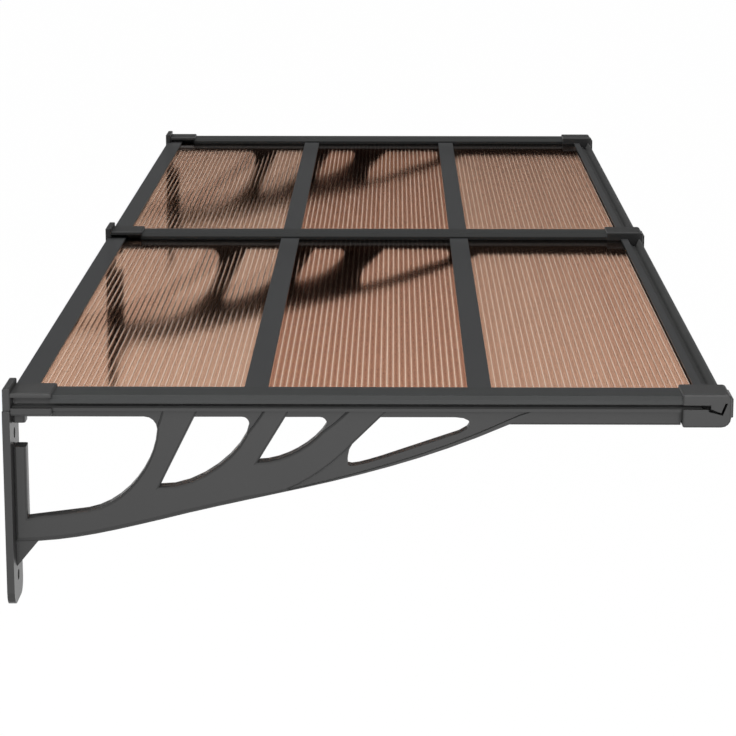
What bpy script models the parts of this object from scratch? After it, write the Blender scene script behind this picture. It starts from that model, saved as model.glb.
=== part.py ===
"""Door canopy with twin-wall polycarbonate sheets, carried by three moulded cantilever brackets.

Axes: X runs along the wall, the wall is the plane Y = 0 and the canopy stands out towards -Y, Z is up.
The origin is the middle of the middle bracket's wall plate, on its back face.
"Reach" is the distance out from the wall and "drop" is the distance down from the top of the arms.
All sizes are in metres.
"""

import math

import bmesh
import bpy
from mathutils import Vector
from mathutils.geometry import interpolate_bezier

# Overall layout
BAY_PITCH = 1.195
STATIONS = {"left": -BAY_PITCH, "middle": 0.0, "right": BAY_PITCH}
BAYS = {"left": -BAY_PITCH / 2, "right": BAY_PITCH / 2}
ARM_TOP = 0.144
REACH = 0.904
FIT = 0.0003

# Sheets
SHEET_THICKNESS = 0.005
SKIN = 0.0007
RIB = 0.0008
FLUTE_PITCH = 0.008
END_SEAT = 0.008

# Cap bar along the top of each arm
CAP_WIDTH = 0.054
CAP_HEIGHT = 0.010
CAP_WALL = 0.002
CAP_CHAMFER = 0.004
CAP_CHAMFER_DROP = 0.005
CAP_LIP = 0.010
CLIP_THICKNESS = 0.0022
CAP_IN_REAR_SLEEVE = 0.002

# Bracket: wall plate
PLATE_WIDTH = 0.076
PLATE_THICKNESS = 0.0095
PLATE_BOTTOM = -0.1265
PLATE_CORNER = 0.018
UPPER_SCREW_DROP = 0.054
SCREW_SPACING = 0.185
SCREW_HOLE = 0.008
SCREW_SEAT = 0.014
SCREW_SEAT_DEPTH = 0.003

# Bracket: arm, stem and truss
FLANGE_WIDTH = 0.040
FLANGE_THICKNESS = 0.006
FLANGE_CHAMFER = 0.002
KEEL_WIDTH = 0.008
KEEL_HEIGHT = 0.010
CORE_WIDTH = 0.018
RIB_WIDTH = 0.025
RIB_EDGE = 0.0045
HOLE_EDGE = 0.003
UNDER_EDGE = 0.006
RIBBON_HEIGHT = 0.0065
RIBBON_TIP_HEIGHT = 0.0026
RIBBON_EDGE = 0.0008
CHORD_DEPTH = 0.0155
ARM_DEPTH = 0.040
SPIGOT_DEPTH = 0.0365
ARM_IN_FRONT_SLEEVE = 0.025
TRUSS_REACH = 0.628
ROOT_DROP = 0.1935
ROOT_DEPTH = 0.0313
STEM_DEPTH = 0.0155
DRIVER_GAP = 0.031
GUSSET_REACH = 0.0275
GUSSET_DROP = 0.032

# Rear sleeve, at the wall
SLEEVE_WIDTH = 0.062
REAR_SLEEVE_FRONT = 0.061
SLEEVE_TOP = 0.003
SLEEVE_EDGE = 0.0022
REAR_SLEEVE_DROP = 0.0255
TAB_WIDTH = 0.066
TAB_RISE = 0.009
TAB_DROP = 0.0183
SLOT_DROP = 0.0021

# Front sleeve, at the outer end
FRONT_SLEEVE_LENGTH = 0.063
FRONT_SLEEVE_WALL = 0.0035
SLEEVE_FLOOR = 0.0017
FRONT_TOP_CORNER = 0.005
FRONT_BOTTOM_CORNER = 0.012
PAD_PROUD = 0.003
PAD_WIDTH = 0.050
PAD_DROP = 0.0025
PAD_HEIGHT = 0.0245
PAD_EDGE = 0.001

# Rails
RAIL_WIDTH = 0.030
RAIL_FLANGE = 0.0025
RAIL_FOOT = 0.0024
RAIL_WEB = 0.004
RAIL_FOOT_WIDTH = 0.022
WALL_RAIL_REACH = 0.0035
WALL_RAIL_BOX = 0.0182
WALL_RAIL_SKIN = 0.0022
MIDDLE_RAILS = {"rear": 0.310, "front": 0.5925}
GUTTER_WALL = 0.0025
GUTTER_SETBACK = 0.031
GUTTER_COVER = 0.0085
GUTTER_DIP = 0.0045
GUTTER_RUN = 0.0155
GUTTER_LIP_LEAN = 0.005
GUTTER_STEP = 0.0006
GUTTER_HEEL = 0.0019

# Levels, as drops from the top of the arms
GROOVE_TOP = CAP_HEIGHT
SHEET_TOP = GROOVE_TOP + FIT
SHEET_BOTTOM = SHEET_TOP + SHEET_THICKNESS
GROOVE_FLOOR = SHEET_BOTTOM + FIT
FLANGE_BOTTOM = GROOVE_FLOOR + FLANGE_THICKNESS
CHORD_BOTTOM = GROOVE_FLOOR + CHORD_DEPTH
RAIL_TOP = GROOVE_TOP - RAIL_FLANGE
RAIL_BOTTOM = GROOVE_FLOOR + RAIL_FOOT
PLATE_TOP = TAB_DROP + FIT
STEM_REACH = PLATE_THICKNESS + STEM_DEPTH
FRONT_SLEEVE_REAR = REACH - FRONT_SLEEVE_LENGTH
ARM_END = FRONT_SLEEVE_REAR + ARM_IN_FRONT_SLEEVE
GUTTER_WEB_REACH = REACH - GUTTER_SETBACK
FRONT_SLEEVE_DROP = SPIGOT_DEPTH + FIT + SLEEVE_FLOOR
POCKET_WIDTH = CAP_WIDTH + 2 * FIT
BURIED = 0.002
THROUGH = 0.050

# Truss: lower edge, as (reach, drop)
UNDERSIDE_KNEE = (0.190, 0.1645)
HEEL_HANDLES = ((0.075, 0.1925), (0.120, 0.1815))
SWEEP_HANDLES = ((0.340, 0.1250), (0.470, 0.1110))

# Truss holes: each has a straight side towards the wall and a round belly. Distances along the arm are
# counted outwards from the head of the tail hole's straight side. A cover is what is left below the hole.
TAIL_HEAD = 0.468
ROOT_HOLE = {
    "shoulder": -0.279, "corner": 0.016,
    "belly": ((-0.282, 0.0905), (-0.318, 0.1435), (-0.368, 0.1525)),
}
RIB_HOLES = (
    {"head": -0.232, "shoulder": -0.164, "corner": 0.009, "foot": -0.277, "cover": 0.043,
     "belly": ((-0.168, 0.0745), (-0.228, 0.1245))},
    {"head": -0.1185, "shoulder": -0.067, "corner": 0.009, "foot": -0.1535, "cover": 0.0462,
     "belly": ((-0.081, 0.0655), (-0.122, 0.0895))},
)
TAIL_FLOOR_COVERS = ((0.0020, 0.0132), (-0.0280, 0.0119), (-0.0440, 0.0120), (-0.0415, 0.0199))
TAIL_SIDE_COVERS = ((-0.0410, 0.0277), (-0.0405, 0.0371), (-0.0355, 0.0413))

# Tail hole's outer end and the plain arm behind it, counted from the outer end of the truss
TAIL_ROOF_END = -0.067
TAIL_TIP_HANDLES = ((-0.048, 0.0313), (-0.040, 0.0415))
TAIL_TIP = -0.062
TAIL_TIP_COVER = 0.0144
RIBBON_END = -0.013
CREASE_BEND = (0.012, 0.0275)
CREASE_END = 0.038

# Raised ribs: creases as (distance outwards from the tail hole's head, drop)
FORK_SETBACK = 0.133
FORK_HANDLES = ((-0.099, 0.1205), (-0.063, 0.0955))
FORK_ON_SIDE = 0.1
RIBBON_SETBACK = 0.116
FIRST_RIB_BACK = ((-0.2720, 0.0186), (-0.2735, 0.0270), (-0.2755, 0.0360), (-0.2815, 0.0480))
SECOND_RIB_BACK = ((-0.1440, 0.0186), (-0.1510, 0.0300), (-0.1580, 0.0400), (-0.1680, 0.0525))
THIRD_RIB_BACK = ((-0.0375, 0.0186), (-0.0500, 0.0305), (-0.0650, 0.0460), (-0.0880, 0.0590))

# Points inside the holes through which the outline of the ribs passes on its way to the next rib
IN_ROOT_HOLE = ((-0.292, 0.0600), (-0.300, 0.0850), (-0.323, 0.1180), (-0.368, 0.1440))
IN_FIRST_HOLE = ((-0.178, 0.0480), (-0.220, 0.0370))
IN_SECOND_HOLE = ((-0.094, 0.0520), (-0.108, 0.0370))
IN_TAIL_HOLE = ((-0.020, 0.0610), (0.004, 0.0370))
OFF_STEM = 0.007
CURVE_STEPS = 9
NEARLY_STRAIGHT = 0.2
NEXT_POINT = 0.010
SAME = 1e-6
SMOOTH_BELOW = 28


# Outlines

def curve(start, handle_a, handle_b, end, steps=CURVE_STEPS):
    """Points of a cubic curve from start to end, both included."""
    points = [Vector((u, v, 0.0)) for u, v in (start, handle_a, handle_b, end)]
    return [(p.x, p.y) for p in interpolate_bezier(*points, steps)]


def corner(near, tip, far, steps=5):
    """A rounded corner from near to far, pulled towards tip."""
    pull = 0.55
    handles = [tuple(a + (t - a) * pull for a, t in zip(side, tip)) for side in (near, far)]
    return curve(near, handles[0], handles[1], far, steps)


def underside():
    """The lower edge of the truss, from the wall plate out to the plain arm."""
    root = (PLATE_THICKNESS, ROOT_DROP)
    tip = (TRUSS_REACH, ARM_DEPTH)
    heel = curve(root, *HEEL_HANDLES, UNDERSIDE_KNEE, 8)
    return heel[:-1] + curve(UNDERSIDE_KNEE, *SWEEP_HANDLES, tip, 13)


def underside_drop(reach):
    """How far the lower edge of the truss lies below the arm's top at this reach."""
    points = underside()
    for (r0, d0), (r1, d1) in zip(points, points[1:]):
        if r0 <= reach <= r1:
            return d0 + (d1 - d0) * (reach - r0) / (r1 - r0)
    return ARM_DEPTH


def from_head(points):
    """Points counted from the head of the tail hole, as (reach, drop)."""
    return [(TAIL_HEAD + out, drop) for out, drop in points]


def over_underside(reach, cover):
    """The point at this reach that leaves this much material down to the lower edge of the truss."""
    return reach, underside_drop(reach) - cover


def area(outline):
    pairs = zip(outline, outline[1:] + outline[:1])
    return sum(a[0] * b[1] - b[0] * a[1] for a, b in pairs) / 2


def shifted(outline, amounts):
    """The outline with each edge moved outwards by its own amount. Edge i starts at point i."""
    turn = 1 if area(outline) > 0 else -1
    normals = []
    for here, after in zip(outline, outline[1:] + outline[:1]):
        edge = Vector((after[0] - here[0], after[1] - here[1])).normalized()
        normals.append(Vector((edge.y, -edge.x)) * turn)
    result = []
    for i, (u, v) in enumerate(outline):
        n0, n1, a0, a1 = normals[i - 1], normals[i], amounts[i - 1], amounts[i]
        bend = n0.x * n1.y - n0.y * n1.x
        if abs(bend) < NEARLY_STRAIGHT:
            middle = (n0 + n1).normalized() * (a0 + a1) / 2
            result.append((u + middle.x, v + middle.y))
        else:
            result.append((u + (a0 * n1.y - a1 * n0.y) / bend, v + (a1 * n0.x - a0 * n1.x) / bend))
    return result


def grown(outline, amount):
    return shifted(outline, [amount] * len(outline))


# Solids

def side_ring(outline, x):
    """Points of a (reach, drop) outline in the plane at x."""
    return [(x, -reach, ARM_TOP - drop) for reach, drop in outline]


def cross_ring(outline, reach):
    """Points of an (x, drop) outline in the plane at this reach."""
    return [(x, -reach, ARM_TOP - drop) for x, drop in outline]


def finished(name, bm):
    """An object in the scene made from the bmesh, which is freed."""
    mesh = bpy.data.meshes.new(name)
    bmesh.ops.recalc_face_normals(bm, faces=bm.faces)
    bm.to_mesh(mesh)
    bm.free()
    made = bpy.data.objects.new(name, mesh)
    bpy.context.collection.objects.link(made)
    return made


def solid(name, rings):
    """A closed body skinned over rings of equal length and capped at both ends."""
    bm = bmesh.new()
    loops = [[bm.verts.new(point) for point in ring] for ring in rings]
    for lower, upper in zip(loops, loops[1:]):
        for i, vertex in enumerate(lower):
            following = (i + 1) % len(lower)
            bm.faces.new((vertex, lower[following], upper[following], upper[i]))
    bm.faces.new(loops[0])
    bm.faces.new(loops[-1])
    return finished(name, bm)


def plank(name, outline, width):
    """A (reach, drop) outline with this width along X, centred."""
    return solid(name, [side_ring(outline, -width / 2), side_ring(outline, width / 2)])


def round_plank(name, outline, insets):
    """A raised band. Its side edges are rounded, each by the inset given for that edge of the outline."""
    outer = RIB_WIDTH / 2
    rings = [(outer, 1.0), (outer - 0.3 * RIB_EDGE, 0.3), (outer - RIB_EDGE, 0.0)]
    outlines = [(x, shifted(outline, [-share * inset for inset in insets])) for x, share in rings]
    sides = [side_ring(points, -x) for x, points in outlines]
    sides += [side_ring(points, x) for x, points in reversed(outlines)]
    return solid(name, sides)


def beam(name, outline, rear, front):
    """An (x, drop) outline run from one reach to another."""
    return solid(name, [cross_ring(outline, rear), cross_ring(outline, front)])


def rectangle(u0, u1, v0, v1):
    return [(u0, v0), (u1, v0), (u1, v1), (u0, v1)]


def block(name, half_width, rear, front, top, bottom):
    """A box centred on X, between two reaches and two drops."""
    return plank(name, rectangle(rear, front, top, bottom), 2 * half_width)


def boolean(body, tool, operation):
    """Adds or cuts the tool, which stays in the file as a hidden guide."""
    tool.hide_render = True
    tool.display_type = "WIRE"
    modifier = body.modifiers.new(f"{operation.lower()} {tool.name}", "BOOLEAN")
    modifier.operation = operation
    modifier.solver = "EXACT"
    modifier.object = tool


def add(body, *tools):
    for tool in tools:
        boolean(body, tool, "UNION")


def cut(body, *tools):
    for tool in tools:
        boolean(body, tool, "DIFFERENCE")


def soften(body, width, segments=1):
    modifier = body.modifiers.new("edges", "BEVEL")
    modifier.width = width
    modifier.segments = segments
    modifier.limit_method = "ANGLE"
    modifier.angle_limit = math.radians(40)
    modifier.use_clamp_overlap = True


def baked(body):
    """Applies the modifiers and clears away the guides that they used."""
    graph = bpy.context.evaluated_depsgraph_get()
    mesh = bpy.data.meshes.new_from_object(body.evaluated_get(graph))
    tools = [m.object for m in body.modifiers if m.type == "BOOLEAN"]
    body.modifiers.clear()
    body.data = mesh
    mesh.name = body.name
    for tool in tools:
        bpy.data.objects.remove(tool, do_unlink=True)
    mesh.shade_smooth()
    mesh.set_sharp_from_angle(angle=math.radians(SMOOTH_BELOW))
    return body


# Materials

def material(name, colour, roughness, metallic=0.0, transmission=0.0):
    made = bpy.data.materials.new(name)
    made.use_nodes = True
    shader = made.node_tree.nodes["Principled BSDF"]
    shader.inputs["Base Color"].default_value = (*colour, 1.0)
    shader.inputs["Roughness"].default_value = roughness
    shader.inputs["Metallic"].default_value = metallic
    shader.inputs["Transmission Weight"].default_value = transmission
    return made


# Bracket

def truss_hole(hole):
    """A hole with a straight side towards the wall and a round belly away from it."""
    shoulder, radius = TAIL_HEAD + hole["shoulder"], hole["corner"]
    foot = over_underside(TAIL_HEAD + hole["foot"], hole["cover"])
    shoulder_end = (shoulder, CHORD_BOTTOM + radius)
    outline = [(TAIL_HEAD + hole["head"], CHORD_BOTTOM)]
    outline += corner((shoulder - radius, CHORD_BOTTOM), (shoulder, CHORD_BOTTOM), shoulder_end)
    return outline + curve(shoulder_end, *from_head(hole["belly"]), foot)[1:]


def root_hole():
    """The largest hole, between the stem and the first rib."""
    shoulder, radius = TAIL_HEAD + ROOT_HOLE["shoulder"], ROOT_HOLE["corner"]
    shoulder_end = (shoulder, CHORD_BOTTOM + radius)
    outline = [(STEM_REACH, CHORD_BOTTOM)]
    outline += corner((shoulder - radius, CHORD_BOTTOM), (shoulder, CHORD_BOTTOM), shoulder_end)
    outline += curve(shoulder_end, *from_head(ROOT_HOLE["belly"]), 11)[1:]
    return outline + [(STEM_REACH, ROOT_DROP - ROOT_DEPTH)]


def tail_side():
    """Handles and end of the bend from the tail hole's foot into its straight side."""
    return [over_underside(TAIL_HEAD + out, cover) for out, cover in TAIL_SIDE_COVERS]


def tail_hole():
    """The long hole that tapers out towards the plain arm."""
    roof_end = (TRUSS_REACH + TAIL_ROOF_END, CHORD_BOTTOM)
    tip_handles = [(TRUSS_REACH + out, drop) for out, drop in TAIL_TIP_HANDLES]
    floor = [over_underside(TAIL_HEAD + out, cover) for out, cover in TAIL_FLOOR_COVERS]
    outline = [(TAIL_HEAD, CHORD_BOTTOM)]
    outline += curve(roof_end, *tip_handles, over_underside(TRUSS_REACH + TAIL_TIP, TAIL_TIP_COVER), 6)
    return outline + curve(*floor, 6) + curve(floor[-1], *tail_side(), 4)[1:]


def side_top(head, foot):
    """A hole's head, and where its straight side, carried on upwards, meets the middle of the flange."""
    top = GROOVE_FLOOR + FLANGE_THICKNESS / 2
    lean = (head - foot[0]) / (foot[1] - CHORD_BOTTOM)
    return [(head, CHORD_BOTTOM), (head + lean * (CHORD_BOTTOM - top), top)]


def rib_outline():
    """Lower chord, stem and three ribs as one raised band, with the amount by which each edge is rounded.

    It follows the creases and passes through the middle of the holes, which are cut afterwards.
    """
    first, second = RIB_HOLES
    stem_top = REAR_SLEEVE_DROP + FIT
    fork = over_underside(TAIL_HEAD - FORK_SETBACK, 0.0)
    lower = [p for p in underside() if p[0] < fork[0] - NEXT_POINT] + [fork]
    side_end, head = tail_side()[-1], (TAIL_HEAD, CHORD_BOTTOM)
    fork_end = tuple(a + (b - a) * FORK_ON_SIDE for a, b in zip(side_end, head))
    backs = curve(fork, *from_head(FORK_HANDLES), fork_end, 8)[1:] + from_head(IN_TAIL_HOLE)
    backs += side_top(TAIL_HEAD, side_end) + curve(*from_head(THIRD_RIB_BACK), 5) + from_head(IN_SECOND_HOLE)
    ribs = ((second, SECOND_RIB_BACK, IN_FIRST_HOLE), (first, FIRST_RIB_BACK, IN_ROOT_HOLE))
    for hole, back, inside in ribs:
        foot = over_underside(TAIL_HEAD + hole["foot"], hole["cover"])
        backs += side_top(TAIL_HEAD + hole["head"], foot)
        backs += curve(*from_head(back), 4) + from_head(inside)
    beside_stem = STEM_REACH + OFF_STEM
    backs += [(beside_stem, ROOT_DROP - ROOT_DEPTH - OFF_STEM), (beside_stem, CHORD_BOTTOM + OFF_STEM / 2)]
    stem = [(STEM_REACH, CHORD_BOTTOM), (STEM_REACH, stem_top), (PLATE_THICKNESS, stem_top)]
    insets = [UNDER_EDGE] * (len(lower) - 1) + [HOLE_EDGE] * len(backs) + [0.0] * 3 + [HOLE_EDGE]
    return lower + backs + stem, insets


def spigot():
    """The lower edge of the arm's end, which steps up to enter the front sleeve."""
    step = FRONT_SLEEVE_REAR - FIT
    return [(step, ARM_DEPTH), (step, SPIGOT_DEPTH), (ARM_END, SPIGOT_DEPTH)]


def arm_outline():
    """The plain outer arm, which runs back along the underside as a thin ribbon that fades out."""
    start, end = TAIL_HEAD - RIBBON_SETBACK, TRUSS_REACH + RIBBON_END
    lower = [over_underside(start, 0.0)] + [p for p in underside() if start < p[0]]
    upper = []
    for reach, drop in reversed(lower):
        if reach < end:
            share = (reach - start) / (end - start)
            height = RIBBON_TIP_HEIGHT + (RIBBON_HEIGHT - RIBBON_TIP_HEIGHT) * share
            upper.append((reach, drop - height))
    top = GROOVE_FLOOR + FLANGE_THICKNESS / 2
    upper = [(TRUSS_REACH + CREASE_END, top), (TRUSS_REACH + CREASE_BEND[0], CREASE_BEND[1]), *upper]
    outline = lower + spigot() + [(ARM_END, top)] + upper
    insets = [2 * RIBBON_EDGE] * (len(lower) - 1) + [HOLE_EDGE, 0.0, HOLE_EDGE, 0.0, 0.0]
    insets += [RIBBON_EDGE] * (len(upper) - 1)
    return outline, insets + [0.0]


def core_outline():
    """The thin middle web of the whole bracket, with the gusset under the root of the truss."""
    inside_plate = PLATE_THICKNESS - BURIED
    top = GROOVE_FLOOR + FLANGE_THICKNESS / 2
    gusset_end = PLATE_THICKNESS + GUSSET_REACH
    gusset_foot = ROOT_DROP + GUSSET_DROP
    lower = [p for p in underside() if p[0] > gusset_end]
    outline = [(inside_plate, PLATE_TOP + BURIED), (PLATE_THICKNESS + FIT, PLATE_TOP + BURIED)]
    outline += [(PLATE_THICKNESS + FIT, top), (ARM_END, top), *reversed(lower + spigot())]
    outline += [(gusset_end, underside_drop(gusset_end)), (PLATE_THICKNESS, gusset_foot)]
    return outline + [(inside_plate, gusset_foot)]


def wall_plate():
    """The plate against the wall, with round lower corners."""
    half, bottom = PLATE_WIDTH / 2, ARM_TOP - PLATE_BOTTOM
    left = corner((-half + PLATE_CORNER, bottom), (-half, bottom), (-half, bottom - PLATE_CORNER))
    right = [(-x, drop) for x, drop in reversed(left)]
    outline = [(-half, PLATE_TOP), (half, PLATE_TOP)] + right + left
    return beam("plate", outline, 0.0, PLATE_THICKNESS)


def screw_hole(z):
    """A through hole with a seat for the head of a wall screw."""
    sides = 16
    rings = []
    for diameter, reach in (
        (SCREW_HOLE, -BURIED), (SCREW_HOLE, PLATE_THICKNESS - SCREW_SEAT_DEPTH),
        (SCREW_SEAT, PLATE_THICKNESS - SCREW_SEAT_DEPTH), (SCREW_SEAT, STEM_REACH),
    ):
        angles = [2 * math.pi * (i + 0.5) / sides for i in range(sides)]
        rings.append([(diameter / 2 * math.cos(a), -reach, z + diameter / 2 * math.sin(a)) for a in angles])
    return solid("screw hole", rings)


def flared(name, outline):
    """A cutter whose mouth opens out over the height of the ribs, but not along the arm."""
    outer, reach_out = RIB_WIDTH / 2, RIB_WIDTH / 2 + BURIED
    above = [abs(drop - CHORD_BOTTOM) < SAME for _, drop in outline]
    along_arm = [a and b for a, b in zip(above, above[1:] + above[:1])]
    rings = [(reach_out, 1.0), (outer, 1.0), (outer - 0.3 * RIB_EDGE, 0.3), (outer - RIB_EDGE, 0.0)]
    outlines = []
    for x, share in rings:
        amounts = [0.0 if flat else share * HOLE_EDGE for flat in along_arm]
        outlines.append((x, shifted(outline, amounts)))
    sides = [side_ring(points, -x) for x, points in outlines]
    sides += [side_ring(points, x) for x, points in reversed(outlines)]
    return solid(name, sides)


def arm_flange():
    """The flat top of the arm that carries the sheets, with the keel that the cap bar clips on to."""
    half, keel = FLANGE_WIDTH / 2, KEEL_WIDTH / 2
    right = [
        (keel, GROOVE_FLOOR - KEEL_HEIGHT), (keel, GROOVE_FLOOR), (half - FLANGE_CHAMFER, GROOVE_FLOOR),
        (half, GROOVE_FLOOR + FLANGE_CHAMFER), (half, FLANGE_BOTTOM),
    ]
    outline = right + [(-x, drop) for x, drop in reversed(right)]
    return beam("flange", outline, PLATE_THICKNESS + FIT, ARM_END)


def build_bracket(name):
    body = wall_plate()
    body.name = name
    add(body, plank("core", core_outline(), CORE_WIDTH))
    add(body, round_plank("outer arm", *arm_outline()))
    add(body, round_plank("ribs", *rib_outline()))
    add(body, arm_flange())
    cut(body, flared("root hole", root_hole()))
    for index, hole in enumerate(RIB_HOLES):
        cut(body, flared(f"rib hole {index}", truss_hole(hole)))
    cut(body, flared("tail hole", tail_hole()))
    gap_top = UPPER_SCREW_DROP - DRIVER_GAP / 2
    gap_bottom = UPPER_SCREW_DROP + DRIVER_GAP / 2
    cut(body, block("driver gap", THROUGH, PLATE_THICKNESS, STEM_REACH + BURIED, gap_top, gap_bottom))
    for drop in (UPPER_SCREW_DROP, UPPER_SCREW_DROP + SCREW_SPACING):
        cut(body, screw_hole(ARM_TOP - drop))
    return baked(body)


# Cap bar and sleeves

def build_cap_bar(name):
    """A snap-on profile: roof, chamfered sides, lips that hold the sheets down and two legs on the keel."""
    half, wall = CAP_WIDTH / 2, CAP_WALL
    roof = half - CAP_CHAMFER
    leg_inside = KEEL_WIDTH / 2 + FIT
    leg_outside = leg_inside + CLIP_THICKNESS
    slope = wall * (math.hypot(CAP_CHAMFER, CAP_CHAMFER_DROP) - CAP_CHAMFER) / CAP_CHAMFER_DROP
    right = [
        (roof, 0.0), (half, CAP_CHAMFER_DROP), (half, CAP_HEIGHT), (half - CAP_LIP, CAP_HEIGHT),
        (half - CAP_LIP, CAP_HEIGHT - wall), (half - wall, CAP_HEIGHT - wall),
        (half - wall, CAP_CHAMFER_DROP + slope), (roof - slope, wall), (leg_outside, wall),
        (leg_outside, CAP_HEIGHT - FIT), (leg_inside, CAP_HEIGHT - FIT), (leg_inside, wall),
    ]
    outline = right + [(-x, drop) for x, drop in reversed(right)]
    return baked(beam(name, outline, REAR_SLEEVE_FRONT - CAP_IN_REAR_SLEEVE, ARM_END))


def build_rear_sleeve(name):
    """The socket at the wall. It closes the arm, takes the wall rails and backs on to the wall."""
    tab_front = PLATE_THICKNESS
    rear = tab_front - BURIED
    body = block(name, SLEEVE_WIDTH / 2, rear, REAR_SLEEVE_FRONT, -SLEEVE_TOP, REAR_SLEEVE_DROP)
    soften(body, SLEEVE_EDGE, 2)
    tab = block("tab", TAB_WIDTH / 2, 0.0, tab_front, -TAB_RISE, FLANGE_BOTTOM)
    soften(tab, SLEEVE_EDGE / 2)
    add(body, tab)
    half_pocket = POCKET_WIDTH / 2
    pocket_floor = FLANGE_BOTTOM + FIT
    cut(body, block("pocket", half_pocket, tab_front, REACH, -FIT, pocket_floor))
    cut(body, block("slit", CORE_WIDTH / 2 + FIT, tab_front, REACH, pocket_floor - BURIED, CHORD_BOTTOM))
    cut(body, block("plate seat", THROUGH, -BURIED, tab_front + FIT, TAB_DROP, CHORD_BOTTOM))
    cut(body, block("rail slot", THROUGH, tab_front + FIT, REACH, SLOT_DROP, GROOVE_FLOOR + FIT))
    return baked(body)


def gutter_path():
    """Upper surface of the front rail's gutter, from its web to the top of its lip."""
    web = GUTTER_WEB_REACH + GUTTER_WALL
    floor_start = (web, GROOVE_FLOOR - GUTTER_STEP)
    floor_end = (web + GUTTER_RUN - GUTTER_WALL, GROOVE_FLOOR + GUTTER_DIP)
    lip_top = (floor_end[0] + GUTTER_LIP_LEAN, RAIL_TOP + FIT)
    return floor_start, floor_end, lip_top


def gutter_outline(clearance=0.0):
    """The bent strip of the gutter alone, grown all round by a clearance."""
    start, end, lip = gutter_path()
    under = GUTTER_WALL
    strip = [
        (GUTTER_WEB_REACH, GROOVE_TOP + FIT), (start[0], GROOVE_TOP + FIT), start, end, lip,
        (lip[0] + under, lip[1]), (end[0] + GUTTER_HEEL, end[1] + under), (GUTTER_WEB_REACH, RAIL_BOTTOM),
    ]
    return grown(strip, clearance) if clearance else strip


def build_front_sleeve(name):
    """The cap on the outer end of the arm, slotted on both sides for the sheet edge and the gutter."""
    rear, front, top, bottom = FRONT_SLEEVE_REAR, REACH - PAD_PROUD, -SLEEVE_TOP, FRONT_SLEEVE_DROP
    outline = [(rear, top)]
    high, low = FRONT_TOP_CORNER, FRONT_BOTTOM_CORNER
    outline += corner((front - high, top), (front, top), (front, top + high), 4)
    outline += corner((front, bottom - low), (front, bottom), (front - low, bottom))
    outline += [(rear, bottom)]
    body = plank(name, outline, SLEEVE_WIDTH)
    soften(body, SLEEVE_EDGE, 2)
    pad = block("pad", PAD_WIDTH / 2, front - PAD_PROUD, REACH, PAD_DROP, PAD_DROP + PAD_HEIGHT)
    soften(pad, PAD_EDGE)
    add(body, pad)
    pocket_front, pocket_floor = front - FRONT_SLEEVE_WALL, SPIGOT_DEPTH + FIT
    pocket = rectangle(rear - THROUGH, pocket_front, -FIT, pocket_floor)
    tip, radius = (pocket_front, pocket_floor), low - SLEEVE_FLOOR
    pocket[2:3] = corner((pocket_front, pocket_floor - radius), tip, (pocket_front - radius, pocket_floor))
    cut(body, plank("pocket", pocket, POCKET_WIDTH))
    slot_front = GUTTER_WEB_REACH + BURIED / 2
    cut(body, block("sheet slot", THROUGH, rear - THROUGH, slot_front, GROOVE_TOP, GROOVE_FLOOR))
    cut(body, plank("gutter slot", gutter_outline(FIT), 2 * THROUGH))
    return baked(body)


# Rails

def build_rail(name, outline, notches, bores=()):
    """A rail of one bay. Each notch is an outline and how far from the bracket's middle it starts."""
    length = BAY_PITCH - 2 * END_SEAT
    body = plank(name, outline, length)
    for index, bore in enumerate(bores):
        cut(body, plank(f"bore {index}", bore, length + 2 * BURIED))
    for index, (shape, setback) in enumerate(notches):
        for side in (-1, 1):
            near = side * (BAY_PITCH / 2 - setback)
            far = side * BAY_PITCH / 2
            cut(body, solid(f"notch {index} {side}", [side_ring(shape, near), side_ring(shape, far)]))
    return baked(body)


def build_wall_rail(name):
    rear, front = WALL_RAIL_REACH, WALL_RAIL_REACH + RAIL_WIDTH
    box = rear + WALL_RAIL_BOX
    outline = [
        (rear, RAIL_TOP), (front, RAIL_TOP), (front, GROOVE_TOP), (box, GROOVE_TOP), (box, GROOVE_FLOOR),
        (front - RAIL_WEB, GROOVE_FLOOR), (front - RAIL_WEB, RAIL_BOTTOM), (rear, RAIL_BOTTOM),
    ]
    bore = rectangle(rear + WALL_RAIL_SKIN, box - WALL_RAIL_SKIN, GROOVE_TOP, GROOVE_FLOOR)
    behind_tab = rectangle(0.0, PLATE_THICKNESS + 2 * FIT, 0.0, FLANGE_BOTTOM)
    over_flange = rectangle(0.0, front + BURIED, SHEET_BOTTOM, FLANGE_BOTTOM)
    tab_face = TAB_WIDTH / 2 + FIT
    return build_rail(name, outline, [(behind_tab, tab_face), (over_flange, tab_face)], [bore])


def build_middle_rail(name, centre):
    """An H-shaped joint between two sheets. Only its web runs in under the cap bar."""
    half, web, foot = RAIL_WIDTH / 2, RAIL_WEB / 2, RAIL_FOOT_WIDTH / 2
    right = [
        (half, RAIL_TOP), (half, GROOVE_TOP), (web, GROOVE_TOP),
        (web, GROOVE_FLOOR), (foot, GROOVE_FLOOR), (foot, RAIL_BOTTOM),
    ]
    outline = [(centre + u, drop) for u, drop in right]
    outline += [(centre - u, drop) for u, drop in reversed(right)]
    over = rectangle(centre - RAIL_WIDTH, centre + RAIL_WIDTH, 0.0, SHEET_TOP)
    under = rectangle(centre - RAIL_WIDTH, centre + RAIL_WIDTH, SHEET_BOTTOM, CHORD_BOTTOM)
    return build_rail(name, outline, [(over, CAP_WIDTH / 2 + FIT), (under, FLANGE_WIDTH / 2 + FIT)])


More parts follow.
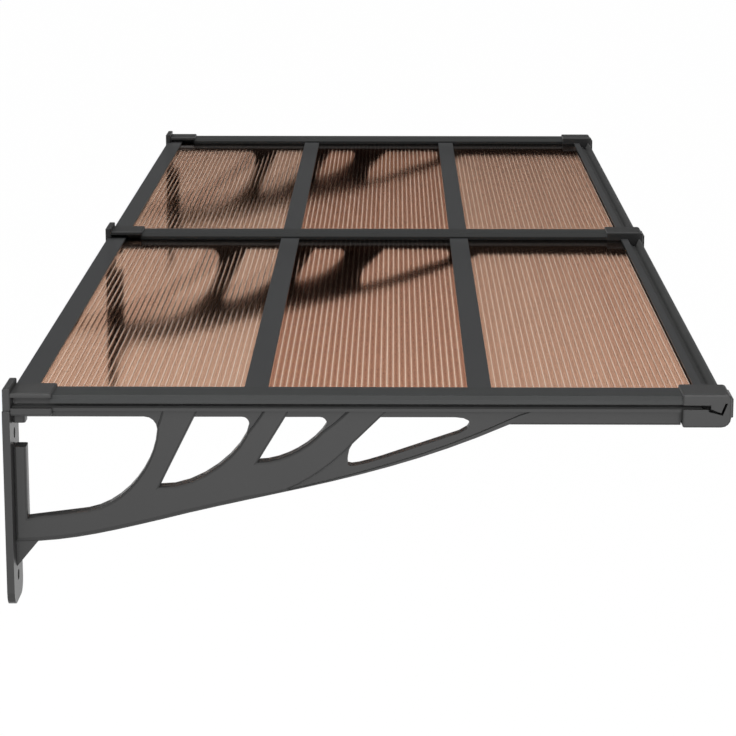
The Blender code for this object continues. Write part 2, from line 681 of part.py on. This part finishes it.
def build_front_rail(name):
    """A channel on the front edge of the sheets with a rain gutter in one piece with it."""
    web, cover = GUTTER_WEB_REACH, GUTTER_WEB_REACH - GUTTER_COVER
    strip = gutter_outline()
    outline = [
        (cover, RAIL_TOP), (web + GUTTER_WALL, RAIL_TOP), *strip[2:],
        (cover, RAIL_BOTTOM), (cover, GROOVE_FLOOR), (web, GROOVE_FLOOR), (web, GROOVE_TOP),
        (cover, GROOVE_TOP),
    ]
    channel = rectangle(cover - BURIED, web, 0.0, CHORD_BOTTOM)
    roof = rectangle(cover - BURIED, web + GUTTER_WALL + BURIED / 2, 0.0, SHEET_TOP)
    face = SLEEVE_WIDTH / 2 + FIT
    return build_rail(name, outline, [(channel, face), (roof, face)])


# Sheets

def build_sheet(name, rear, front):
    """A twin-wall sheet: two skins on ribs, with open flutes that run along the wall."""
    rear, front = rear + FIT, front - FIT
    count = int((front - rear - 2 * RIB) / FLUTE_PITCH)
    margin = (front - rear - count * FLUTE_PITCH) / 2
    half = BAY_PITCH / 2 - END_SEAT
    bm = bmesh.new()

    def edge(reach, drop):
        return [bm.verts.new((x, -reach, ARM_TOP - drop)) for x in (-half, half)]

    def band(a, b):
        bm.faces.new((a[0], a[1], b[1], b[0]))

    def caps(*edges):
        for end in (0, 1):
            bm.faces.new([pair[end] for pair in edges])

    lines = [rear, *(rear + margin + i * FLUTE_PITCH for i in range(1, count)), front]
    upper = [edge(reach, SHEET_TOP) for reach in lines]
    lower = [edge(reach, SHEET_BOTTOM) for reach in lines]
    for row in (upper, lower):
        for a, b in zip(row, row[1:]):
            band(a, b)
    band(upper[0], lower[0])
    band(upper[-1], lower[-1])
    cells = []
    for i in range(count):
        start = rear + margin + i * FLUTE_PITCH + RIB / 2
        end = start + FLUTE_PITCH - RIB
        cell = [edge(u, drop) for u, drop in rectangle(start, end, SHEET_TOP + SKIN, SHEET_BOTTOM - SKIN)]
        for a, b in zip(cell, cell[1:] + cell[:1]):
            band(a, b)
        caps(upper[i], upper[i + 1], cell[1], cell[0])
        caps(lower[i], lower[i + 1], cell[2], cell[3])
        cells.append(cell)
    for i, (here, after) in enumerate(zip(cells, cells[1:])):
        caps(upper[i + 1], after[0], here[1])
        caps(lower[i + 1], after[3], here[2])
        caps(here[1], after[0], after[3], here[2])
    caps(upper[0], cells[0][0], cells[0][3], lower[0])
    caps(upper[-1], cells[-1][1], cells[-1][2], lower[-1])
    return finished(name, bm)


# Assembly

def place(prototype, places, finish):
    """One object for each place, which share the prototype's mesh. The first one is the prototype."""
    mesh = prototype.data
    mesh.materials.append(finish)
    stem = prototype.name
    for index, (side, parent) in enumerate(places.items()):
        piece = prototype if index == 0 else bpy.data.objects.new("copy", mesh)
        if index:
            bpy.context.collection.objects.link(piece)
        piece.name = f"{stem}_{side}"
        piece.parent = parent


def empties(kind, positions):
    made = {}
    for side, x in positions.items():
        empty = bpy.data.objects.new(f"{kind} {side}", None)
        empty.location.x = x
        bpy.context.collection.objects.link(empty)
        made[side] = empty
    return made


def main():
    for old in list(bpy.data.objects):
        bpy.data.objects.remove(old, do_unlink=True)
    stations = empties("station", STATIONS)
    bays = empties("bay", BAYS)
    moulded = material("moulded bracket plastic", (0.072, 0.074, 0.076), 0.42)
    painted = material("painted rail", (0.066, 0.070, 0.072), 0.36, metallic=0.2)
    bronze = material("bronze polycarbonate", (0.46, 0.27, 0.18), 0.22, transmission=0.8)

    place(build_bracket("bracket"), stations, moulded)
    place(build_cap_bar("cap_bar"), stations, painted)
    place(build_rear_sleeve("rear_sleeve"), stations, moulded)
    place(build_front_sleeve("front_sleeve"), stations, moulded)

    place(build_wall_rail("wall_rail"), bays, painted)
    for position, centre in MIDDLE_RAILS.items():
        place(build_middle_rail(f"{position}_joint_rail", centre), bays, painted)
    place(build_front_rail("gutter_rail"), bays, painted)

    half_web = RAIL_WEB / 2
    sheets = {
        "rear_sheet": (WALL_RAIL_REACH + WALL_RAIL_BOX, MIDDLE_RAILS["rear"] - half_web),
        "middle_sheet": (MIDDLE_RAILS["rear"] + half_web, MIDDLE_RAILS["front"] - half_web),
        "front_sheet": (MIDDLE_RAILS["front"] + half_web, GUTTER_WEB_REACH),
    }
    for name, (rear, front) in sheets.items():
        place(build_sheet(name, rear, front), bays, bronze)


main()
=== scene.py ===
"""Door canopy with bronze twin-wall sheets on three moulded brackets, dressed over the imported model.

Metres. +X runs along the wall, the wall is the plane Y = 0, the canopy stands out towards -Y, and +Z is up.
"""

import math

import bmesh
import bpy
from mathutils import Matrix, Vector


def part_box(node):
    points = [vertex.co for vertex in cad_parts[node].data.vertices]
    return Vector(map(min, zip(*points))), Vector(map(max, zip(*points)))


# Camera: a long lens beyond the left end of the canopy, which looks along the wall and down
CAMERA_PLACE = Vector((-4.394, -0.484, 0.887))
FOCAL_PIXELS = 2637.0
FRAME_PIXELS = 736.0
SENSOR_WIDTH = 36.0
VIEW_END = 200.0

# Pixel of the photographed frame, above its top edge, where lines along the wall would meet
VANISHING_POINT = (395.0, -220.0)

# Floor: rays that carry light meet the dull shade, and all others the pale one, mostly under plain white
FLOOR_LEVEL = -2.1
FLOOR_SIZE = 90.0
FLOOR_ROUGHNESS = 0.9
FLOOR_DULL = 0.15
FLOOR_PALE = 0.92
FLOOR_WHITE_SHARE = 0.96

# Studio: its strength at the horizon and overhead
HORIZON_LEVEL = 0.22
OVERHEAD_LEVEL = 1.35

# Heights in a mirror, 0 at the horizon and 1 overhead: the plain white ends over the first stretch, and the
# studio starts at the dim height
WHITE_END = (0.03, 0.06)
DIM_HEIGHT = 0.25

# Soft lamps: place, point that they face, width and height, and watts
FRONT_LAMP = {"place": (-7.0, -0.8, 1.3), "target": (-0.6, -0.4, 0.0), "size": (3.5, 3.0), "watts": 400.0}
REAR_LAMP = {"place": (0.5, 5.0, 4.0), "target": (0.0, -0.4, 0.0), "size": (4.0, 2.5), "watts": 240.0}

# Colours in linear light. Tones are the dark and the pale shade that a surface drifts between
WHITE = (1.0, 1.0, 1.0)
BLACK = (0.0, 0.0, 0.0)
BRACKET_TONES = ((0.035, 0.035, 0.035), (0.040, 0.040, 0.040))
RAIL_TONES = ((0.041, 0.042, 0.043), (0.046, 0.047, 0.048))
BAR_TONES = ((0.028, 0.029, 0.029), (0.032, 0.033, 0.033))
PAINTED_LIGHT_GREY = (0.105, 0.105, 0.102)
BRONZE_DEEP = (0.74, 0.51, 0.41)
BRONZE_PALE = (0.99, 0.81, 0.69)

# Satin skin of the dark pieces: slow clouds of tone, and a fine grain in roughness and relief
SATIN_ROUGHNESS = 0.32
SATIN_SPECULAR = 0.22
CLOUD_SCALE = 9.0
CLOUD_DETAIL = 3.0
GRAIN_DETAIL = 2.0
GRAIN_STRENGTH = 0.35
ROUGHNESS_DRIFT = 0.05

# Scale and depth of the grain
MOULDED_GRAIN = (1400.0, 0.00003)
PAINTED_GRAIN = (2200.0, 0.00001)

# Painted light in the gutter, a paler grey over its shaded inside: how far it reaches in from the outer lip,
# its share on faces that look at the wall, how much of that lies on level faces, and its patches
PAINTED_LIGHT_WIDTH = 0.0207
PAINTED_LIGHT_SHARE = 0.42
PAINTED_LIGHT_ON_LEVEL = 0.7
PATCH_SCALE = 25.0
PATCH_DETAIL = 3.0
PATCH_RANGE = (0.6, 1.4)

# Twin-wall section, as the solids have it
FLUTE_PITCH = 0.008
FLUTE_RIB = 0.0008

# Skin of the sheets, and the share that they hold back of the light on what is beneath them
SHEET_ROUGHNESS = 0.055
SHEET_IOR = 1.12
SHADE_UNDER = 0.95

# Faint lines from the extrusion, which run along the sheets: they shift the tint and dent the skin
LINE_SCALE = (0.6, 90.0, 90.0)
LINE_DETAIL = 3.0
LINE_SHIFT = 0.25
LINE_STRENGTH = 0.2
LINE_DEPTH = 0.00002

# Painted light on each row of sheets: its place between deep and pale bronze, which is a painted shade for
# that row, and the contrast of its stripes, which are painted highlights over the ribs
SHEET_PAINTED_LIGHT = {"rear": (0.74, 0.30), "middle": (0.30, 0.90), "front": (0.60, 0.30)}

# Sockets of a Mix node for each kind of value: its A and B inputs, and its result
MIX_SOCKETS = {"RGBA": (6, 7, 2), "FLOAT": (2, 3, 0)}


# Helpers for shader trees

def new_group(name, inputs, outputs):
    """An empty shader group. Inputs are (name, default) and outputs are (name, socket type)."""
    group = bpy.data.node_groups.new(name, "ShaderNodeTree")
    for label, default in inputs:
        kind = "NodeSocketColor" if isinstance(default, tuple) else "NodeSocketFloat"
        group.interface.new_socket(label, in_out="INPUT", socket_type=kind).default_value = default
    for label, kind in outputs:
        group.interface.new_socket(label, in_out="OUTPUT", socket_type=kind)
    return group, group.nodes.new("NodeGroupInput"), group.nodes.new("NodeGroupOutput")


def placed_group(tree, group, values):
    """A shader group placed in a material, with that material's own values."""
    placed = tree.nodes.new("ShaderNodeGroup")
    placed.node_tree = group
    for label, value in values.items():
        placed.inputs[label].default_value = value
    return placed


def node(tree, kind, **values):
    """A new node with properties and input values set. A value that is a socket is linked."""
    made = tree.nodes.new(kind)
    for name, value in values.items():
        label = name.replace("_", " ").title()
        if isinstance(value, bpy.types.NodeSocket):
            tree.links.new(value, made.inputs[label])
        elif hasattr(made, name):
            setattr(made, name, value)
        else:
            made.inputs[label].default_value = value
    return made


def math_node(tree, operation, first, second=0.0, clamp=False):
    """Result of a Math node. Each value is a number or a socket."""
    made = node(tree, "ShaderNodeMath", operation=operation, use_clamp=clamp)
    for slot, value in enumerate((first, second)):
        if isinstance(value, float):
            made.inputs[slot].default_value = value
        else:
            tree.links.new(value, made.inputs[slot])
    return made.outputs["Value"]


def blended(tree, kind, share, first, second):
    """First value where the share is 0, second where it is 1. A value is a colour or a socket."""
    first_input, second_input, result = MIX_SOCKETS[kind]
    blend = node(tree, "ShaderNodeMix", data_type=kind)
    tree.links.new(share, blend.inputs["Factor"])
    for slot, value in ((first_input, first), (second_input, second)):
        if isinstance(value, tuple):
            blend.inputs[slot].default_value = (*value, 1.0)
        else:
            tree.links.new(value, blend.inputs[slot])
    return blend.outputs[result]


def mixed_shader(tree, share, first, second):
    """First shader where the share is 0, second where it is 1. The share is a number or a socket."""
    mix = node(tree, "ShaderNodeMixShader")
    if isinstance(share, float):
        mix.inputs["Fac"].default_value = share
    else:
        tree.links.new(share, mix.inputs["Fac"])
    tree.links.new(first, mix.inputs[1])
    tree.links.new(second, mix.inputs[2])
    return mix.outputs["Shader"]


# Shader groups that several materials share

def satin_surface():
    """Colour that drifts slowly, and the roughness and normal of a fine-grained moulded or painted skin."""
    group, start, end = new_group(
        "satin_surface",
        (("Dark", (*BLACK, 1.0)), ("Pale", (*WHITE, 1.0)), ("Roughness", SATIN_ROUGHNESS),
         ("Grain Scale", MOULDED_GRAIN[0]), ("Grain Depth", MOULDED_GRAIN[1])),
        (("Color", "NodeSocketColor"), ("Roughness", "NodeSocketFloat"), ("Normal", "NodeSocketVector")),
    )
    given = start.outputs
    place = node(group, "ShaderNodeTexCoord").outputs["Object"]
    cloud = node(group, "ShaderNodeTexNoise", vector=place, scale=CLOUD_SCALE, detail=CLOUD_DETAIL)
    tone = blended(group, "RGBA", cloud.outputs["Fac"], given["Dark"], given["Pale"])
    noise = node(group, "ShaderNodeTexNoise", vector=place, scale=given["Grain Scale"], detail=GRAIN_DETAIL)
    grain = noise.outputs["Fac"]
    drift = node(group, "ShaderNodeMapRange", value=grain, to_min=-ROUGHNESS_DRIFT, to_max=ROUGHNESS_DRIFT)
    rough = math_node(group, "ADD", given["Roughness"], drift.outputs["Result"])
    depth = given["Grain Depth"]
    bump = node(group, "ShaderNodeBump", strength=GRAIN_STRENGTH, distance=depth, height=grain)
    group.links.new(tone, end.inputs["Color"])
    group.links.new(rough, end.inputs["Roughness"])
    group.links.new(bump.outputs["Normal"], end.inputs["Normal"])
    return group


def flute_stripes():
    """1 over a sheet's ribs and 0 over the middle of its flutes, and faint lines from the extrusion."""
    group, start, end = new_group(
        "flute_stripes", (("Rib Line", 0.0), ("Pitch", FLUTE_PITCH)),
        (("Stripe", "NodeSocketFloat"), ("Lines", "NodeSocketFloat")),
    )
    place = node(group, "ShaderNodeTexCoord").outputs["Object"]
    across = node(group, "ShaderNodeSeparateXYZ", vector=place).outputs["Y"]
    from_rib = math_node(group, "SUBTRACT", across, start.outputs["Rib Line"])
    turns = math_node(group, "DIVIDE", from_rib, start.outputs["Pitch"])
    wave = math_node(group, "COSINE", math_node(group, "MULTIPLY", turns, math.tau))
    stripe = node(group, "ShaderNodeMapRange", value=wave, from_min=-1.0, from_max=1.0)
    stretched = node(group, "ShaderNodeMapping", vector=place, scale=LINE_SCALE).outputs["Vector"]
    lines = node(group, "ShaderNodeTexNoise", vector=stretched, scale=1.0, detail=LINE_DETAIL)
    group.links.new(stripe.outputs["Result"], end.inputs["Stripe"])
    group.links.new(lines.outputs["Fac"], end.inputs["Lines"])
    return group


# Materials

def new_material(name):
    """A material, its shader tree and the Principled shader in it."""
    made = bpy.data.materials.new(name)
    made.use_nodes = True
    return made, made.node_tree, made.node_tree.nodes["Principled BSDF"]


def gutter_painted_light(tree):
    """Share of the painted light, a paler grey, over the shaded inside of the gutter."""
    outer_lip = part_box("gutter_rail_left")[0][1]
    place = node(tree, "ShaderNodeTexCoord").outputs["Object"]
    across = node(tree, "ShaderNodeSeparateXYZ", vector=place).outputs["Y"]
    inside = math_node(tree, "LESS_THAN", across, outer_lip + PAINTED_LIGHT_WIDTH)
    facing = node(tree, "ShaderNodeNewGeometry").outputs["Normal"]
    lean = node(tree, "ShaderNodeSeparateXYZ", vector=facing).outputs
    towards = math_node(tree, "MAXIMUM", lean["Y"], math_node(tree, "MULTIPLY", lean["Z"], PAINTED_LIGHT_ON_LEVEL))
    clouds = node(tree, "ShaderNodeTexNoise", vector=place, scale=PATCH_SCALE, detail=PATCH_DETAIL)
    low, high = PATCH_RANGE
    patchy = node(tree, "ShaderNodeMapRange", value=clouds.outputs["Fac"], to_min=low, to_max=high)
    held = math_node(tree, "MULTIPLY", inside, towards, clamp=True)
    share = math_node(tree, "MULTIPLY", held, PAINTED_LIGHT_SHARE)
    return math_node(tree, "MULTIPLY", share, patchy.outputs["Result"], clamp=True)


def dark_material(name, surface, tones, grain, with_painted_light=False):
    """A dark satin skin from the shared group, with painted light, a paler grey, over the gutter's inside
    where that is asked for.
    """
    made, tree, shader = new_material(name)
    skin = placed_group(tree, surface, {
        "Dark": (*tones[0], 1.0), "Pale": (*tones[1], 1.0), "Roughness": SATIN_ROUGHNESS,
        "Grain Scale": grain[0], "Grain Depth": grain[1],
    })
    colour = skin.outputs["Color"]
    if with_painted_light:
        # Painted light: the shaded inside of the gutter is made paler grey where it faces the wall or upward
        colour = blended(tree, "RGBA", gutter_painted_light(tree), colour, PAINTED_LIGHT_GREY)
    tree.links.new(colour, shader.inputs["Base Color"])
    tree.links.new(skin.outputs["Roughness"], shader.inputs["Roughness"])
    tree.links.new(skin.outputs["Normal"], shader.inputs["Normal"])
    shader.inputs["Specular IOR Level"].default_value = SATIN_SPECULAR
    return made


def rib_line(sheet):
    """Where the rib nearest the wall lies: a sheet's ribs are spaced evenly about the middle of its width."""
    low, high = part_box(sheet)
    width = high[1] - low[1]
    flutes = int((width - 2 * FLUTE_RIB) / FLUTE_PITCH)
    return high[1] - (width - flutes * FLUTE_PITCH) / 2


def bronze_sheet(row, stripes):
    """Tinted clear plastic with a slightly frosted skin, with painted highlights in stripes over its ribs and
    a painted shade for its row.

    Little light passes it to what lies underneath, so the brackets stay dark behind it.
    """
    made, tree, shader = new_material(f"bronze_{row}_sheet")
    paleness, contrast = SHEET_PAINTED_LIGHT[row]
    darkest, palest = paleness - contrast / 2, paleness + contrast / 2
    pattern = placed_group(tree, stripes, {"Rib Line": rib_line(f"{row}_sheet_left")}).outputs
    # Painted highlights and shade: the tint is paler over the ribs, and its paleness is set for each row
    striped = node(tree, "ShaderNodeMapRange", value=pattern["Stripe"], to_min=darkest, to_max=palest)
    shift = node(tree, "ShaderNodeMapRange", value=pattern["Lines"], to_min=-LINE_SHIFT, to_max=LINE_SHIFT)
    share = math_node(tree, "ADD", striped.outputs["Result"], shift.outputs["Result"], clamp=True)
    tint = blended(tree, "RGBA", share, BRONZE_DEEP, BRONZE_PALE)
    carries_light = tree.nodes.new("ShaderNodeLightPath").outputs["Diffuse Depth"]
    held_back = math_node(tree, "MULTIPLY", carries_light, SHADE_UNDER, clamp=True)
    tree.links.new(blended(tree, "RGBA", held_back, tint, BLACK), shader.inputs["Base Color"])
    lines = pattern["Lines"]
    bump = node(tree, "ShaderNodeBump", strength=LINE_STRENGTH, distance=LINE_DEPTH, height=lines)
    tree.links.new(bump.outputs["Normal"], shader.inputs["Normal"])
    shader.inputs["Roughness"].default_value = SHEET_ROUGHNESS
    shader.inputs["IOR"].default_value = SHEET_IOR
    shader.inputs["Transmission Weight"].default_value = 1.0
    return made


def dress_nodes(nodes):
    """Gives each piece the first finish whose word is in its name, and moulded plastic if there is none."""
    skin = satin_surface()
    stripes = flute_stripes()
    finishes = {f"{row}_sheet": bronze_sheet(row, stripes) for row in SHEET_PAINTED_LIGHT}
    finishes["gutter_rail"] = dark_material("painted_gutter", skin, RAIL_TONES, PAINTED_GRAIN, with_painted_light=True)
    finishes["rail"] = dark_material("painted_rail", skin, RAIL_TONES, PAINTED_GRAIN)
    finishes["cap_bar"] = dark_material("painted_cap_bar", skin, BAR_TONES, PAINTED_GRAIN)
    moulded = dark_material("moulded_plastic", skin, BRACKET_TONES, MOULDED_GRAIN)
    for name, piece in nodes.items():
        chosen = next((made for word, made in finishes.items() if word in name), moulded)
        piece.data.materials.clear()
        piece.data.materials.append(chosen)


# Stage, light and camera

def white_rays(tree):
    """1 for a ray that sees the plain white background, 0 for one that carries light to a matt surface."""
    path = tree.nodes.new("ShaderNodeLightPath").outputs
    seen = math_node(tree, "MAXIMUM", path["Is Camera Ray"], path["Is Transmission Ray"])
    seen = math_node(tree, "MAXIMUM", seen, path["Is Glossy Ray"])
    return math_node(tree, "SUBTRACT", seen, path["Diffuse Depth"], clamp=True)


def make_floor():
    """A pale floor far below, as under a canopy over a door. It is seen only from above."""
    half = FLOOR_SIZE / 2
    bm = bmesh.new()
    corners = [(-half, -half), (half, -half), (half, half), (-half, half)]
    bm.faces.new([bm.verts.new((x, y, FLOOR_LEVEL)) for x, y in corners])
    mesh = bpy.data.meshes.new("floor")
    bm.to_mesh(mesh)
    bm.free()
    floor = bpy.data.objects.new("floor", mesh)
    bpy.context.scene.collection.objects.link(floor)
    made, tree, shader = new_material("pale_floor")
    seen = white_rays(tree)
    shade = node(tree, "ShaderNodeMapRange", value=seen, to_min=FLOOR_DULL, to_max=FLOOR_PALE)
    tree.links.new(shade.outputs["Result"], shader.inputs["Base Color"])
    shader.inputs["Roughness"].default_value = FLOOR_ROUGHNESS
    matt = shader.outputs["BSDF"]
    glow = node(tree, "ShaderNodeEmission").outputs["Emission"]
    above = mixed_shader(tree, seen, matt, mixed_shader(tree, FLOOR_WHITE_SHARE, matt, glow))
    clear = node(tree, "ShaderNodeBsdfTransparent").outputs["BSDF"]
    below = node(tree, "ShaderNodeNewGeometry").outputs["Backfacing"]
    tree.links.new(mixed_shader(tree, below, above, clear), tree.nodes["Material Output"].inputs["Surface"])
    mesh.materials.append(made)


def make_world():
    """A studio that is bright overhead and dim lower down, in front of a plain white background.

    Mirror rays see that background only near the horizon, because the sheets are to mirror nothing pale.
    """
    world = bpy.data.worlds.new("white_studio")
    world.use_nodes = True
    tree = world.node_tree
    direction = node(tree, "ShaderNodeTexCoord").outputs["Generated"]
    height = node(tree, "ShaderNodeSeparateXYZ", vector=direction).outputs["Z"]
    path = tree.nodes.new("ShaderNodeLightPath").outputs
    mirrored = math_node(tree, "SUBTRACT", path["Glossy Depth"], path["Diffuse Depth"], clamp=True)
    level = node(tree, "ShaderNodeMapRange", value=height, to_min=HORIZON_LEVEL, to_max=OVERHEAD_LEVEL)
    mirror_level = node(tree, "ShaderNodeMapRange", interpolation_type="SMOOTHSTEP", value=height,
                        from_min=DIM_HEIGHT, to_max=OVERHEAD_LEVEL)
    strength = blended(tree, "FLOAT", mirrored, level.outputs["Result"], mirror_level.outputs["Result"])
    studio = tree.nodes["Background"]
    studio.inputs["Color"].default_value = (*WHITE, 1.0)
    tree.links.new(strength, studio.inputs["Strength"])
    white = node(tree, "ShaderNodeBackground")
    white.inputs["Color"].default_value = (*WHITE, 1.0)
    low, high = WHITE_END
    past_end = node(tree, "ShaderNodeMapRange", value=height, from_min=low, from_max=high)
    hidden = math_node(tree, "MULTIPLY", past_end.outputs["Result"], mirrored)
    seen = math_node(tree, "SUBTRACT", white_rays(tree), hidden, clamp=True)
    surface = mixed_shader(tree, seen, studio.outputs["Background"], white.outputs["Background"])
    tree.links.new(surface, tree.nodes["World Output"].inputs["Surface"])
    bpy.context.scene.world = world


def make_softbox(name, place, target, size, watts, lit=()):
    """A soft lamp. Where it is given pieces to light, it lights only those."""
    lamp = bpy.data.lights.new(name, "AREA")
    lamp.shape = "RECTANGLE"
    lamp.size, lamp.size_y = size
    lamp.energy = watts
    box = bpy.data.objects.new(name, lamp)
    box.location = place
    box.rotation_mode = "QUATERNION"
    box.rotation_quaternion = (Vector(target) - Vector(place)).to_track_quat("-Z", "Y")
    bpy.context.scene.collection.objects.link(box)
    if lit:
        box.light_linking.receiver_collection = bpy.data.collections.new(name)
        for piece in lit:
            box.light_linking.receiver_collection.objects.link(piece)


def near_end(nodes):
    """The left bracket with what is fitted to its arm."""
    return [nodes[f"{word}_left"] for word in ("bracket", "cap_bar", "rear_sleeve", "front_sleeve")]


def make_camera():
    """Aims the lens so that lines along the wall run to the photographed vanishing point."""
    middle = FRAME_PIXELS / 2
    pitch = math.atan((middle - VANISHING_POINT[1]) / FOCAL_PIXELS)
    yaw = math.atan((VANISHING_POINT[0] - middle) * math.cos(pitch) / FOCAL_PIXELS)
    forward = Vector((math.cos(pitch) * math.cos(yaw), math.cos(pitch) * math.sin(yaw), -math.sin(pitch)))
    lens = bpy.data.cameras.new("camera")
    lens.sensor_width = SENSOR_WIDTH
    lens.lens = FOCAL_PIXELS * SENSOR_WIDTH / FRAME_PIXELS
    lens.clip_end = VIEW_END
    camera = bpy.data.objects.new("camera", lens)
    camera.location = CAMERA_PLACE
    camera.rotation_mode = "QUATERNION"
    camera.rotation_quaternion = forward.to_track_quat("-Z", "Y")
    bpy.context.scene.collection.objects.link(camera)
    bpy.context.scene.camera = camera


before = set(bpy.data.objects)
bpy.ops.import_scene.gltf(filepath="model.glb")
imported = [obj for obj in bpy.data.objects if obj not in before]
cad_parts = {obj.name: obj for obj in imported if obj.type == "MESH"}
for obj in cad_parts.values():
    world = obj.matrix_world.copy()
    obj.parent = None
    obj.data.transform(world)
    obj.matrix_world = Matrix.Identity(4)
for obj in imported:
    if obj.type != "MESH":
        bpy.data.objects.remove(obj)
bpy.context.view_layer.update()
bpy.context.scene.view_settings.view_transform = "Standard"
dress_nodes(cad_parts)
make_floor()
make_world()
make_softbox("front_softbox", **FRONT_LAMP, lit=near_end(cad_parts))
make_softbox("rear_softbox", **REAR_LAMP)
make_camera()
